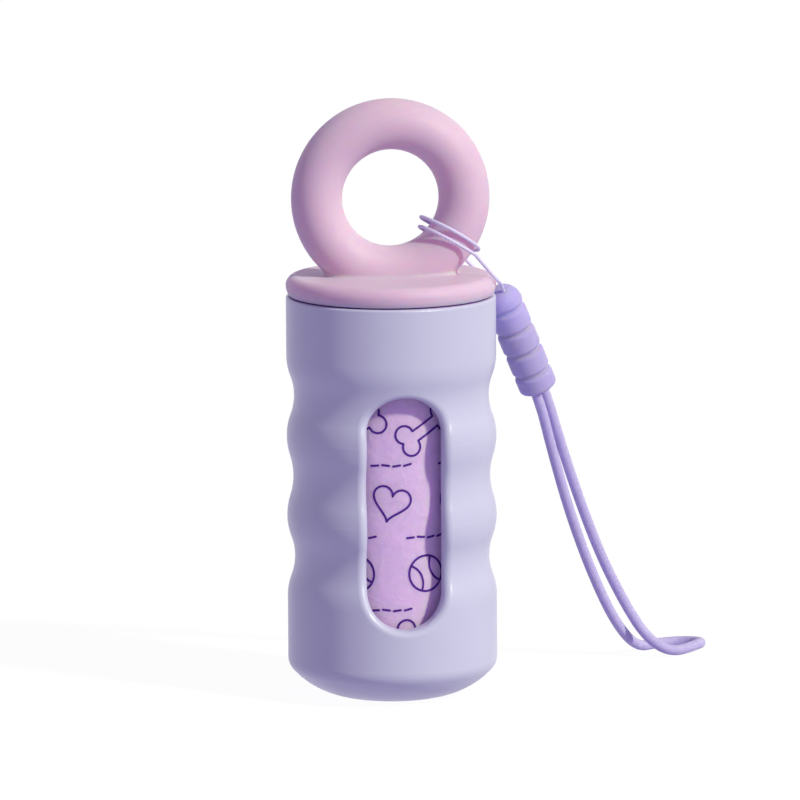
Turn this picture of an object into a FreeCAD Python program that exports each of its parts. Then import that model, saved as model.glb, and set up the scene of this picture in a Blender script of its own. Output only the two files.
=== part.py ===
import FreeCAD, Part
import math
import os

# Bag dispenser with a screw lid, a carrying ring and a wrist cord.
# Millimetres, +Z up, origin at the middle of the foot, window towards -Y.

# Bag roll, which the canister is sized for
ROLL_RADIUS = 16.0
ROLL_LENGTH = 60.0
ROLL_ROUND = 0.6
CORE_RADIUS = 6.5
CORE_WALL = 1.0
CORE_CLEARANCE = 0.05

# Canister
ROLL_SIDE_GAP = 1.5
ROLL_FLOOR_GAP = 0.2
HEAD_SPACE = 16.0
WAIST_WALL = 2.0
END_WAIST_DEPTH = 1.5
MIDDLE_WAIST_DEPTH = 1.27
WAVE_START = 20.1
WAVE_BELOW_RIM = 11.9
FLOOR_THICKNESS = 4.6
FLOOR_ROUND = 2.0
RIM_ROUND = 0.45
MOUTH_ROUND = 0.4
BASE_HEIGHT = 7.6
BASE_INSET = 13.0
BASE_CORNER_RADIUS = 3.2

# Window in the front of the canister
WINDOW_WIDTH = 15.1
WINDOW_ABOVE_ROLL_FOOT = 11.3
WINDOW_BELOW_ROLL_TOP = 2.0
WINDOW_TURN = 1.8
WINDOW_ROUND = 1.3
WINDOW_ROUND_WALL_SHARE = 0.65

# Lid, with its plug and seal
SEAL_THICKNESS = 0.3
SEAL_INSET = 0.9
SEAL_CLEARANCE = 0.2
FLANGE_THICKNESS = 3.9
FLANGE_TOP_ROUND = 2.0
FLANGE_SIDE_RADIUS = 3.4
FLANGE_LOW_ROUND = 0.25
RING_RADIUS = 14.8
RING_TUBE_RADIUS = 5.1
RING_SINK = 4.42
RING_LEDGE = 0.5
RING_FILLET = 0.6
THREAD_SPACE = 1.1
PLUG_DEPTH = 6.4
PLUG_WALL = 1.8
PLUG_CROWN = 1.6
PLUG_ROUND = 0.5
BOSS_RADIUS = 5.0
BOSS_HEIGHT = 2.0
BOSS_CLEARANCE = 0.05

# String hitched round the ring
STRING_DIAMETER = 0.74
HITCH_RING_ANGLE = 35.6
HITCH_SLOPE = 27.5
HITCH_TILT = 11.0
HITCH_SLACK = 0.9
HITCH_FRONT_SLACK = 0.32
HITCH_SHIFT = 0.31
HITCH_PITCH = 1.9
HITCH_START_ANGLE = -75.0
HITCH_REAR_ANGLE = -270.0
HITCH_WRAP = 531.0
HITCH_STEPS = 6
HITCH_LEAD = 3.9
HITCH_LIFT_WRAP = 150.0
HITCH_LIFT = 0.9
SWING_GAP = 0.3

# Passes of the string's legs by the lid's edge, as angle, rise and clearance
FRONT_LEG_PASSES = ((-21.0, 33.0, 0.75), (-6.6, 0.0, 0.6))
REAR_LEG_PASSES = ((35.0, 36.0, 0.6),)

# Ribbed sleeve over the joint of string and wrist cord
SLEEVE_STANDOFF = 2.78
SLEEVE_AZIMUTH = 19.68
SLEEVE_DROP = 4.13
SLEEVE_LEAN = 25.97
SLEEVE_HEADING = 29.96
SLEEVE_LENGTH = 24.15
SLEEVE_WALL = 1.2
SLEEVE_END_ROUND = 1.05
DOME_SKIRT = 0.05
END_RIB = 4.23
GROOVE_COUNT = 4
GROOVE_DEPTH = 0.6
GROOVE_ROOT_RADIUS = 0.4
RIB_SHOULDER_RADIUS = 0.85
STRING_TWIST = 39.5
STRING_HOLE_OFFSETS = (0.9, -0.4)
STRING_HOLE_CLEARANCE = 0.1
KNOT_LENGTH = 3.2
KNOT_ROUND = 0.8
KNOT_SIDE_GAP = 0.5
KNOT_CROWN_GAP = 0.4
KNOT_CRIMP_GAP = 0.6
CRIMP_LENGTH = 6.0
CRIMP_DEPTH = 4.5
CRIMP_WALL = 0.35
CRIMP_CLEARANCE = 0.05

# Wrist cord
CORD_DIAMETER = 2.1
CORD_GAP = 0.3
CORD_TWIST = 0.0
CORD_END_INSET = 0.8
CORD_MOUTH_RUN = 0.7
CORD_ROUTE = (
    (34.4, 16.8, 45.9),
    (38.3, 20.6, 33.5),
    (42.6, 25.0, 22.1),
    (47.4, 29.8, 11.3),
    (51.7, 34.2, 4.4),
    (55.9, 37.2, 1.1),
    (59.8, 39.4, 1.1),
    (63.6, 40.9, 1.1),
    (67.2, 39.2, 1.1),
    (68.4, 35.1, 1.1),
    (66.4, 31.3, 1.1),
    (61.0, 29.2, 1.1),
    (55.9, 29.4, 4.4),
    (51.4, 28.2, 11.2),
    (45.9, 24.8, 21.9),
    (41.1, 20.9, 33.8),
    (36.8, 17.1, 45.9),
)
RUN_SHARE = 0.45

# Canister sizes that follow
WAIST_DEPTHS = (END_WAIST_DEPTH, MIDDLE_WAIST_DEPTH, END_WAIST_DEPTH)
BORE_RADIUS = ROLL_RADIUS + ROLL_SIDE_GAP
RING_REACH = RING_RADIUS + RING_TUBE_RADIUS
BODY_RADIUS = max(BORE_RADIUS + WAIST_WALL + max(WAIST_DEPTHS), RING_REACH + RING_LEDGE)
FOOT_RADIUS = BODY_RADIUS - BASE_INSET
ROLL_BOTTOM = FLOOR_THICKNESS + ROLL_FLOOR_GAP
ROLL_TOP = ROLL_BOTTOM + ROLL_LENGTH
RIM_HEIGHT = ROLL_TOP + HEAD_SPACE
WAVE_END = RIM_HEIGHT - WAVE_BELOW_RIM
WAVE_PITCH = (WAVE_END - WAVE_START) / len(WAIST_DEPTHS)
WINDOW_BOTTOM = ROLL_BOTTOM + WINDOW_ABOVE_ROLL_FOOT
WINDOW_TOP = ROLL_TOP - WINDOW_BELOW_ROLL_TOP

# Lid sizes that follow
LID_UNDERSIDE = RIM_HEIGHT + SEAL_THICKNESS
FLANGE_TOP = LID_UNDERSIDE + FLANGE_THICKNESS
FLANGE_MIDDLE = LID_UNDERSIDE + FLANGE_THICKNESS / 2
FLANGE_WIDEST = FLANGE_TOP - FLANGE_TOP_ROUND
RING_CENTRE_HEIGHT = FLANGE_TOP + RING_REACH - RING_SINK
PLUG_RADIUS = BORE_RADIUS - THREAD_SPACE

# String, sleeve and cord sizes that follow
STRING_RADIUS = STRING_DIAMETER / 2
SWING_OFFSET = STRING_RADIUS + SWING_GAP / 2
HITCH_REACH = RING_TUBE_RADIUS + STRING_RADIUS + HITCH_SLACK
HITCH_DEPTH = (RING_TUBE_RADIUS + STRING_RADIUS + HITCH_FRONT_SLACK) / math.cos(math.radians(HITCH_TILT))
CORD_RADIUS = CORD_DIAMETER / 2
CORD_SPACING = CORD_RADIUS + CORD_GAP / 2
CRIMP_BORE_RADIUS = CORD_SPACING + CORD_RADIUS + CRIMP_CLEARANCE
CRIMP_RADIUS = CRIMP_BORE_RADIUS + CRIMP_WALL
SLEEVE_BORE_RADIUS = CRIMP_RADIUS + CRIMP_CLEARANCE
SLEEVE_RADIUS = SLEEVE_BORE_RADIUS + SLEEVE_WALL
GROOVE_REACH = GROOVE_ROOT_RADIUS + RIB_SHOULDER_RADIUS
GROOVE_HALF_WIDTH = math.sqrt(GROOVE_REACH ** 2 - (GROOVE_REACH - GROOVE_DEPTH) ** 2)
GROOVE_FIRST = SLEEVE_RADIUS + DOME_SKIRT + GROOVE_HALF_WIDTH
GROOVE_PITCH = (SLEEVE_LENGTH - GROOVE_FIRST - END_RIB) / (GROOVE_COUNT - 1)
CRIMP_TOP = SLEEVE_LENGTH - CRIMP_DEPTH - CRIMP_LENGTH
CORD_END = CRIMP_TOP + CORD_END_INSET
CORD_MOUTH = SLEEVE_LENGTH + CORD_MOUTH_RUN
KNOT_TOP = CRIMP_TOP - KNOT_CRIMP_GAP - KNOT_LENGTH
KNOT_RADIUS = SLEEVE_BORE_RADIUS - KNOT_SIDE_GAP
SLEEVE_BORE_TOP = KNOT_TOP - KNOT_CROWN_GAP

# Modelling tolerances and counts
TOUCH = 1e-6
EDGE_MARGIN = 0.01
WALL_MARGIN = 0.5
PATH_SAMPLES = 400
NEIGHBOUR_DIAMETERS = 4
PARTS_FOLDER = "parts"

V = FreeCAD.Vector
ORIGIN = V(0, 0, 0)
Y_AXIS = V(0, 1, 0)
Z_AXIS = V(0, 0, 1)


def unit(vector):
    return vector * (1.0 / vector.Length)


def rz(radius, height):
    return V(radius, 0, height)


def line(start, end):
    return Part.makeLine(start, end)


def arc(start, middle, end):
    return Part.Arc(start, middle, end).toShape()


def round_corner(centre_r, centre_z, radius, angle_from, angle_to):
    """Arc of a profile in the XZ plane, angles in degrees from +X."""
    points = []
    for share in (0.0, 0.5, 1.0):
        angle = math.radians(angle_from + (angle_to - angle_from) * share)
        points.append(rz(centre_r + radius * math.cos(angle), centre_z + radius * math.sin(angle)))
    return arc(*points)


def joined(edges):
    """Close the gaps between profile edges with lines, and make a face."""
    chain = []
    for index, edge in enumerate(edges):
        following = edges[(index + 1) % len(edges)]
        chain.append(edge)
        end = edge.lastVertex(True).Point
        start = following.firstVertex(True).Point
        if (start - end).Length > TOUCH:
            chain.append(line(end, start))
    return Part.Face(Part.Wire(chain))


def turned(edges):
    """Solid of a profile turned about +Z."""
    return joined(edges).revolve(ORIGIN, Z_AXIS, 360)


def disc(radius, height, base):
    return Part.makeCylinder(radius, height, V(0, 0, base))


# Canister

def wave_curves():
    """Crests and waists as tangent arcs, upwards from the first crest."""
    quarter = WAVE_PITCH / 4
    edges = []
    for index, depth in enumerate(WAIST_DEPTHS):
        low = WAVE_START + index * WAVE_PITCH
        radius = quarter ** 2 / depth + depth / 4
        turn = math.degrees(math.asin(quarter / radius))
        crest_r = BODY_RADIUS - radius
        waist_r = BODY_RADIUS - depth + radius
        edges.append(round_corner(crest_r, low, radius, 0, turn))
        edges.append(round_corner(waist_r, low + WAVE_PITCH / 2, radius, 180 + turn, 180 - turn))
        edges.append(round_corner(crest_r, low + WAVE_PITCH, radius, -turn, 0))
    return edges


def base_curves():
    """Shallow dome from the foot, then the corner that meets the side."""
    corner_r = BODY_RADIUS - BASE_CORNER_RADIUS
    across = corner_r - FOOT_RADIUS
    climb = BASE_HEIGHT ** 2 - BASE_CORNER_RADIUS ** 2
    dome_radius = (across ** 2 + climb) / (2 * (BASE_HEIGHT - BASE_CORNER_RADIUS))
    meet = math.degrees(math.atan2(BASE_HEIGHT - dome_radius, across))
    dome = round_corner(FOOT_RADIUS, dome_radius, dome_radius, -90, meet)
    corner = round_corner(corner_r, BASE_HEIGHT, BASE_CORNER_RADIUS, meet, 0)
    return [dome, corner]


def canister_blank():
    foot = line(ORIGIN, rz(FOOT_RADIUS, 0))
    rim = round_corner(BODY_RADIUS - RIM_ROUND, RIM_HEIGHT - RIM_ROUND, RIM_ROUND, 0, 90)
    mouth = round_corner(BORE_RADIUS + MOUTH_ROUND, RIM_HEIGHT - MOUTH_ROUND, MOUTH_ROUND, 90, 180)
    floor_r = BORE_RADIUS - FLOOR_ROUND
    floor_corner = round_corner(floor_r, FLOOR_THICKNESS + FLOOR_ROUND, FLOOR_ROUND, 0, -90)
    floor = line(rz(floor_r, FLOOR_THICKNESS), rz(0, FLOOR_THICKNESS))
    return turned([foot] + base_curves() + wave_curves() + [rim, mouth, floor_corner, floor])


def window_cutter():
    half = WINDOW_WIDTH / 2
    low = WINDOW_BOTTOM + half
    high = WINDOW_TOP - half
    edges = [
        line(V(half, 0, low), V(half, 0, high)),
        arc(V(half, 0, high), V(0, 0, WINDOW_TOP), V(-half, 0, high)),
        line(V(-half, 0, high), V(-half, 0, low)),
        arc(V(-half, 0, low), V(0, 0, WINDOW_BOTTOM), V(half, 0, low)),
    ]
    cutter = Part.Face(Part.Wire(edges)).extrude(V(0, -2 * BODY_RADIUS, 0))
    cutter.rotate(ORIGIN, Z_AXIS, WINDOW_TURN)
    return cutter


def is_outer_window_edge(edge):
    """True on the outline of the window in the outer surface."""
    to_front = FreeCAD.Rotation(Z_AXIS, -WINDOW_TURN)
    for share in (0.25, 0.5, 0.75):
        span = edge.LastParameter - edge.FirstParameter
        point = to_front.multVec(edge.valueAt(edge.FirstParameter + span * share))
        radius = math.hypot(point.x, point.y)
        in_front = point.y < 0 and abs(point.x) < WINDOW_WIDTH / 2 + EDGE_MARGIN
        in_height = WINDOW_BOTTOM - EDGE_MARGIN < point.z < WINDOW_TOP + EDGE_MARGIN
        if not (in_front and in_height and radius > BORE_RADIUS + WALL_MARGIN):
            return False
    return True


def make_canister_shell():
    shell = canister_blank().cut(window_cutter())
    edges = [edge for edge in shell.Edges if is_outer_window_edge(edge)]
    return shell.makeFillet(min(WINDOW_ROUND, WINDOW_ROUND_WALL_SHARE * WAIST_WALL), edges)


# Seal, lid and plug

def make_lid_seal():
    outer = disc(BODY_RADIUS - SEAL_INSET, SEAL_THICKNESS, RIM_HEIGHT)
    inner = disc(PLUG_RADIUS + SEAL_CLEARANCE, SEAL_THICKNESS, RIM_HEIGHT)
    return outer.cut(inner)


def lid_flange():
    """Disc whose side bulges to its widest, then draws in to a small lower edge."""
    top_r = BODY_RADIUS - FLANGE_TOP_ROUND
    side_r = BODY_RADIUS - FLANGE_SIDE_RADIUS
    reach = FLANGE_SIDE_RADIUS - FLANGE_LOW_ROUND
    fall = FLANGE_WIDEST - LID_UNDERSIDE - FLANGE_LOW_ROUND
    low_r = side_r + math.sqrt(reach ** 2 - fall ** 2)
    meet = -math.degrees(math.asin(fall / reach))
    under = line(rz(0, LID_UNDERSIDE), rz(low_r, LID_UNDERSIDE))
    low = round_corner(low_r, LID_UNDERSIDE + FLANGE_LOW_ROUND, FLANGE_LOW_ROUND, -90, meet)
    side = round_corner(side_r, FLANGE_WIDEST, FLANGE_SIDE_RADIUS, meet, 0)
    high = round_corner(top_r, FLANGE_WIDEST, FLANGE_TOP_ROUND, 0, 90)
    top = line(rz(top_r, FLANGE_TOP), rz(0, FLANGE_TOP))
    return turned([under, low, side, high, top])


def is_ring_foot_edge(edge):
    """True where the ring meets the top of the flange."""
    box = edge.BoundBox
    flat = box.ZLength < EDGE_MARGIN and abs(box.ZMin - FLANGE_TOP) < EDGE_MARGIN
    return flat and box.YMax < RING_TUBE_RADIUS + WALL_MARGIN


def make_lid_cap():
    ring = Part.makeTorus(RING_RADIUS, RING_TUBE_RADIUS, V(0, 0, RING_CENTRE_HEIGHT), Y_AXIS)
    sunk = disc(RING_REACH, RING_REACH, FLANGE_MIDDLE - RING_REACH)
    cap = lid_flange().fuse(ring.cut(sunk))
    cap = cap.makeFillet(RING_FILLET, [edge for edge in cap.Edges if is_ring_foot_edge(edge)])
    return cap.cut(disc(BOSS_RADIUS + BOSS_CLEARANCE, BOSS_HEIGHT + BOSS_CLEARANCE, LID_UNDERSIDE))


def make_lid_plug():
    bottom = LID_UNDERSIDE - PLUG_DEPTH
    crown = LID_UNDERSIDE - PLUG_CROWN
    inner = PLUG_RADIUS - PLUG_WALL
    boss_top = line(rz(0, LID_UNDERSIDE + BOSS_HEIGHT), rz(BOSS_RADIUS, LID_UNDERSIDE + BOSS_HEIGHT))
    seat = line(rz(BOSS_RADIUS, LID_UNDERSIDE), rz(PLUG_RADIUS, LID_UNDERSIDE))
    outer_lip = round_corner(PLUG_RADIUS - PLUG_ROUND, bottom + PLUG_ROUND, PLUG_ROUND, 0, -90)
    inner_lip = round_corner(inner + PLUG_ROUND, bottom + PLUG_ROUND, PLUG_ROUND, -90, -180)
    ceiling = line(rz(inner, crown), rz(0, crown))
    return turned([boss_top, seat, outer_lip, inner_lip, ceiling])


# Bag roll

def make_roll_core():
    outer = disc(CORE_RADIUS, ROLL_LENGTH, ROLL_BOTTOM)
    return outer.cut(disc(CORE_RADIUS - CORE_WALL, ROLL_LENGTH, ROLL_BOTTOM))


def make_bag_roll():
    inner = CORE_RADIUS + CORE_CLEARANCE
    edge_r = ROLL_RADIUS - ROLL_ROUND
    low = round_corner(edge_r, ROLL_BOTTOM + ROLL_ROUND, ROLL_ROUND, -90, 0)
    high = round_corner(edge_r, ROLL_TOP - ROLL_ROUND, ROLL_ROUND, 0, 90)
    bore = line(rz(inner, ROLL_TOP), rz(inner, ROLL_BOTTOM))
    return turned([low, high, bore])


# Cord paths

def rounded_path(points, label):
    """Straight runs joined by tangent arcs, each as large as its runs allow."""
    edges = []
    radii = []
    last = points[0]
    for before, corner, after in zip(points, points[1:], points[2:]):
        into = unit(corner - before)
        out = unit(after - corner)
        turn = into.getAngle(out)
        cut = RUN_SHARE * min((corner - before).Length, (after - corner).Length)
        radius = cut / math.tan(turn / 2)
        start = corner - into * cut
        end = corner + out * cut
        chord_middle = (start + end) * 0.5
        middle = chord_middle + unit(corner - chord_middle) * arc_rise(radius, turn)
        edges.append(line(last, start))
        edges.append(arc(start, middle, end))
        radii.append(round(radius, 1))
        last = end
    edges.append(line(last, points[-1]))
    wire = Part.Wire(edges)
    print(label, "length", round(wire.Length, 1), "radii", radii)
    return wire


def arc_rise(radius, turn):
    """Height of an arc over its chord."""
    return radius * (1 - math.cos(turn / 2))


def tube(wire, radius):
    first = wire.Edges[0]
    start = first.valueAt(first.FirstParameter)
    heading = first.tangentAt(first.FirstParameter)
    section = Part.Wire([Part.makeCircle(radius, start, heading)])
    solid = Part.Wire(wire).makePipeShell([section], True, False)
    expected = math.pi * radius ** 2 * wire.Length
    print("  volume over section times length", round(solid.Volume / expected, 4))
    return solid


def domed(solid, radius, point, outward):
    """Close an end of a tube with a half ball."""
    return solid.fuse(Part.makeSphere(radius, point, outward, 0, 90, 360))


def arc_from(start, heading, end):
    """Arc that leaves a point along a heading and reaches an end."""
    chord = end - start
    half_turn = heading.getAngle(chord)
    if half_turn < TOUCH:
        return line(start, end)
    across = unit(chord)
    rise_heading = unit(heading - across * heading.dot(across))
    rise = chord.Length / 2 * math.tan(half_turn / 2)
    middle = (start + end) * 0.5 + rise_heading * rise
    return arc(start, middle, end)


def biarc(start, heading, end, end_heading):
    """Two tangent arcs between two points with given headings."""
    chord = end - start
    both = heading + end_heading
    bend = 2 * (1 - heading.dot(end_heading))
    pull = chord.dot(both)
    reach = (math.sqrt(pull ** 2 + bend * chord.dot(chord)) - pull) / bend
    first_corner = start + heading * reach
    second_corner = end - end_heading * reach
    meet = (first_corner + second_corner) * 0.5
    meet_heading = unit(second_corner - first_corner)
    return [arc_from(start, heading, meet), arc_from(meet, meet_heading, end)]


# String

def hitch_frame():
    """Centre of the turns, and directions outward, to the rear and along their axis."""
    angle = math.radians(HITCH_RING_ANGLE)
    slope = math.radians(HITCH_SLOPE)
    tilt = math.radians(HITCH_TILT)
    radial = V(math.cos(angle), 0, -math.sin(angle))
    outward = V(math.cos(slope), 0, -math.sin(slope))
    along = V(math.sin(slope), 0, math.cos(slope))
    rearward = Y_AXIS * math.cos(tilt) - along * math.sin(tilt)
    axis = along * math.cos(tilt) + Y_AXIS * math.sin(tilt)
    centre = V(0, 0, RING_CENTRE_HEIGHT) + radial * RING_RADIUS - outward * HITCH_SHIFT
    return centre, outward, rearward, axis


def hitch_station(wrap):
    """Point and heading after a wrap angle in degrees from the front start."""
    centre, outward, rearward, axis = hitch_frame()
    angle = math.radians(HITCH_START_ANGLE - wrap)
    climb_rate = HITCH_PITCH / (2 * math.pi)
    climb = climb_rate * (math.radians(HITCH_REAR_ANGLE) - angle)
    lift = HITCH_LIFT * max(0.0, 1 - (HITCH_WRAP - wrap) / HITCH_LIFT_WRAP)
    reach = HITCH_REACH + lift
    depth = HITCH_DEPTH + lift
    spoke = outward * (reach * math.cos(angle)) + rearward * (depth * math.sin(angle))
    sweep = outward * (reach * math.sin(angle)) - rearward * (depth * math.cos(angle))
    return centre + spoke + axis * climb, unit(sweep + axis * climb_rate)


def rim_pass(angle, rise, clearance):
    """Point clear of the rounded edge of the flange."""
    turn = math.radians(angle)
    slant = math.radians(rise)
    reach = FLANGE_TOP_ROUND + STRING_RADIUS + clearance
    radius = BODY_RADIUS - FLANGE_TOP_ROUND + reach * math.cos(slant)
    height = FLANGE_WIDEST + reach * math.sin(slant)
    return V(radius * math.cos(turn), radius * math.sin(turn), height)


def leg_passes():
    """Points where the front leg and the rear leg pass the edge of the flange."""
    return [[rim_pass(*place) for place in places] for places in (FRONT_LEG_PASSES, REAR_LEG_PASSES)]


def hitch_stations():
    """Stations of the turns; the last heads for the rim of the flange."""
    stations = [hitch_station(HITCH_WRAP * step / HITCH_STEPS) for step in range(HITCH_STEPS + 1)]
    last = stations[-1][0]
    stations[-1] = (last, unit(leg_passes()[-1][0] - last))
    return stations


def swing_points():
    """Points at one height where the two legs swing on the ends of the hitch."""
    stations = hitch_stations()
    first, first_heading = stations[0]
    last, last_heading = stations[-1]
    front = first - first_heading * HITCH_LEAD
    rear = last + last_heading * ((front.z - last.z) / last_heading.z)
    return front, rear


def hitch_ends():
    """Centres of the hitch's domed ends, short of the swing points, and headings out of it."""
    stations = hitch_stations()
    headings = (-stations[0][1], stations[-1][1])
    return [(point - heading * SWING_OFFSET, heading) for point, heading in zip(swing_points(), headings)]


def leg_ends():
    """Centres of the legs' domed ends, past the swing points, and headings into the legs."""
    ends = []
    for point, passes in zip(swing_points(), leg_passes()):
        heading = unit(passes[0] - point)
        ends.append((point + heading * SWING_OFFSET, heading))
    return ends


def hitch_wire():
    (front, _), (rear, _) = hitch_ends()
    stations = hitch_stations()
    edges = [line(front, stations[0][0])]
    for (start, heading), (end, end_heading) in zip(stations, stations[1:]):
        edges.extend(biarc(start, heading, end, end_heading))
    edges.append(line(stations[-1][0], rear))
    return Part.Wire(edges)


def least_self_gap(wire, diameter):
    """Least clear gap between stretches of a wound path that are not neighbours."""
    points = wire.discretize(Number=PATH_SAMPLES)
    step = wire.Length / (PATH_SAMPLES - 1)
    skip = int(NEIGHBOUR_DIAMETERS * diameter / step) + 1
    least = min(
        (points[i] - points[j]).Length
        for i in range(len(points))
        for j in range(i + skip, len(points))
    )
    return least - diameter


def make_string_hitch():
    wire = hitch_wire()
    gap = least_self_gap(wire, STRING_DIAMETER)
    print("string_hitch length", round(wire.Length, 1), "least self gap", round(gap, 2))
    hitch = tube(wire, STRING_RADIUS)
    for end, heading in hitch_ends():
        hitch = domed(hitch, STRING_RADIUS, end, heading)
    return hitch


def sleeve_frame(twist_angle):
    """Top of the sleeve, its axis, and a direction across it at a twist angle."""
    azimuth = math.radians(SLEEVE_AZIMUTH)
    lean = math.radians(SLEEVE_LEAN)
    heading = math.radians(SLEEVE_HEADING)
    twist = math.radians(twist_angle)
    reach = BODY_RADIUS + SLEEVE_STANDOFF
    top = V(reach * math.cos(azimuth), reach * math.sin(azimuth), FLANGE_TOP - SLEEVE_DROP)
    outward = V(math.cos(heading), math.sin(heading), 0)
    axis = outward * math.sin(lean) - Z_AXIS * math.cos(lean)
    level = Z_AXIS.cross(outward)
    rising = axis.cross(level)
    side = rising * math.cos(twist) - level * math.sin(twist)
    return top, axis, side


def sleeve_point(depth, offset, twist_angle):
    top, axis, side = sleeve_frame(twist_angle)
    return top + axis * depth + side * offset


def leg_wires():
    wires = []
    legs = zip(("front leg", "rear leg"), leg_ends(), leg_passes(), STRING_HOLE_OFFSETS)
    for name, (begin, _), passes, offset in legs:
        points = [begin] + passes
        points += [sleeve_point(depth, offset, STRING_TWIST) for depth in (0, KNOT_TOP)]
        wires.append(rounded_path(points, name))
    return wires


def make_string_legs():
    legs = []
    for wire, (begin, heading) in zip(leg_wires(), leg_ends()):
        legs.append(domed(tube(wire, STRING_RADIUS), STRING_RADIUS, begin, -heading))
    return Part.makeCompound(legs)


# Sleeve and what it hides

def along_sleeve(shape):
    """Move a shape drawn down +Z from the origin onto the sleeve's axis."""
    top, axis, _ = sleeve_frame(CORD_TWIST)
    placed = shape.copy()
    placed.Placement = FreeCAD.Placement(top, FreeCAD.Rotation(Z_AXIS, axis))
    return placed


def sleeve_groove(index):
    """Rounded groove between two rounded rib shoulders, as three tangent arcs."""
    middle = GROOVE_FIRST + index * GROOVE_PITCH
    shoulder_r = SLEEVE_RADIUS - RIB_SHOULDER_RADIUS
    root_r = SLEEVE_RADIUS - GROOVE_DEPTH + GROOVE_ROOT_RADIUS
    turn = math.degrees(math.asin(GROOVE_HALF_WIDTH / GROOVE_REACH))
    return [
        round_corner(shoulder_r, middle - GROOVE_HALF_WIDTH, RIB_SHOULDER_RADIUS, 0, turn),
        round_corner(root_r, middle, GROOVE_ROOT_RADIUS, 180 + turn, 180 - turn),
        round_corner(shoulder_r, middle + GROOVE_HALF_WIDTH, RIB_SHOULDER_RADIUS, -turn, 0),
    ]


def sleeve_blank():
    end_r = SLEEVE_RADIUS - SLEEVE_END_ROUND
    end_z = SLEEVE_LENGTH - SLEEVE_END_ROUND
    edges = [round_corner(0, SLEEVE_RADIUS, SLEEVE_RADIUS, -90, 0)]
    for index in range(GROOVE_COUNT):
        edges += sleeve_groove(index)
    edges.append(round_corner(end_r, end_z, SLEEVE_END_ROUND, 0, 90))
    edges.append(line(rz(SLEEVE_BORE_RADIUS, SLEEVE_LENGTH), rz(SLEEVE_BORE_RADIUS, SLEEVE_BORE_TOP)))
    edges.append(line(rz(SLEEVE_BORE_RADIUS, SLEEVE_BORE_TOP), rz(0, SLEEVE_BORE_TOP)))
    return along_sleeve(turned(edges))


def make_cord_sleeve():
    sleeve = sleeve_blank()
    for wire in leg_wires():
        sleeve = sleeve.cut(tube(wire, STRING_RADIUS + STRING_HOLE_CLEARANCE))
    return sleeve


def make_string_knot():
    low = KNOT_TOP + KNOT_LENGTH
    edge_r = KNOT_RADIUS - KNOT_ROUND
    edges = [
        line(rz(0, KNOT_TOP), rz(edge_r, KNOT_TOP)),
        round_corner(edge_r, KNOT_TOP + KNOT_ROUND, KNOT_ROUND, -90, 0),
        round_corner(edge_r, low - KNOT_ROUND, KNOT_ROUND, 0, 90),
        line(rz(edge_r, low), rz(0, low)),
    ]
    return along_sleeve(turned(edges))


def make_cord_crimp():
    outer = disc(CRIMP_RADIUS, CRIMP_LENGTH, CRIMP_TOP)
    return along_sleeve(outer.cut(disc(CRIMP_BORE_RADIUS, CRIMP_LENGTH, CRIMP_TOP)))


def make_wrist_cord():
    points = [sleeve_point(depth, -CORD_SPACING, CORD_TWIST) for depth in (CORD_END, CORD_MOUTH)]
    points += [V(*point) for point in CORD_ROUTE]
    points += [sleeve_point(depth, CORD_SPACING, CORD_TWIST) for depth in (CORD_MOUTH, CORD_END)]
    return tube(rounded_path(points, "wrist_cord"), CORD_RADIUS)


PARTS = {
    "canister_shell": make_canister_shell,
    "lid_seal": make_lid_seal,
    "lid_cap": make_lid_cap,
    "lid_plug": make_lid_plug,
    "roll_core": make_roll_core,
    "bag_roll": make_bag_roll,
    "string_hitch": make_string_hitch,
    "string_legs": make_string_legs,
    "cord_sleeve": make_cord_sleeve,
    "string_knot": make_string_knot,
    "cord_crimp": make_cord_crimp,
    "wrist_cord": make_wrist_cord,
}


def main():
    os.makedirs(PARTS_FOLDER, exist_ok=True)
    for name, maker in PARTS.items():
        shape = maker()
        shape.exportStep(PARTS_FOLDER + "/" + name + ".step")
        print(name, "valid", shape.isValid(), "solids", len(shape.Solids), "volume", round(shape.Volume, 1))
    front, rear = swing_points()
    print("lanyard swings about", unit(front - rear), "through", (front + rear) * 0.5)


main()
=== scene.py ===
import math

import bpy
from mathutils import Matrix, Vector, noise


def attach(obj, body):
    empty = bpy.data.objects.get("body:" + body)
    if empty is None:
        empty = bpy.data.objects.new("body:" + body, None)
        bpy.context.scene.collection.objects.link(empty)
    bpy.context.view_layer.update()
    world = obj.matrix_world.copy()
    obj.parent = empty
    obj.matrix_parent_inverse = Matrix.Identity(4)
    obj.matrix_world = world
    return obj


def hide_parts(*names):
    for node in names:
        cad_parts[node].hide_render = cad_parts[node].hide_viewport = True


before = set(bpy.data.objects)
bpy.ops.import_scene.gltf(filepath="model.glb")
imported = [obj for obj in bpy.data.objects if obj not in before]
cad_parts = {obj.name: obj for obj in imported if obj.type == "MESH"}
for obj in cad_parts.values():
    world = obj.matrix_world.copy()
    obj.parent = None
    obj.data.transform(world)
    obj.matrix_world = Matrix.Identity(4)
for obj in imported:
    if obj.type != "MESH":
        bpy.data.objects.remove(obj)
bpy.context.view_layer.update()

# Looks of a bag dispenser with a screw lid, a carrying ring and a wrist cord.
# Sizes are in millimetres and angles in degrees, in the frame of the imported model.

MM = 0.001
Y_AXIS = Vector((0, 1, 0))
Z_AXIS = Vector((0, 0, 1))

# View
PIXEL = 0.2012
FRAME_PIXELS = 800
FOOT_PIXEL = (392.95, 692.3)
VIEW_AZIMUTH = -6.6
VIEW_ELEVATION = 9.1
VIEW_ROLL = 0.298
VIEW_DISTANCE = 1750.0
SENSOR_WIDTH = 36.0

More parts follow.
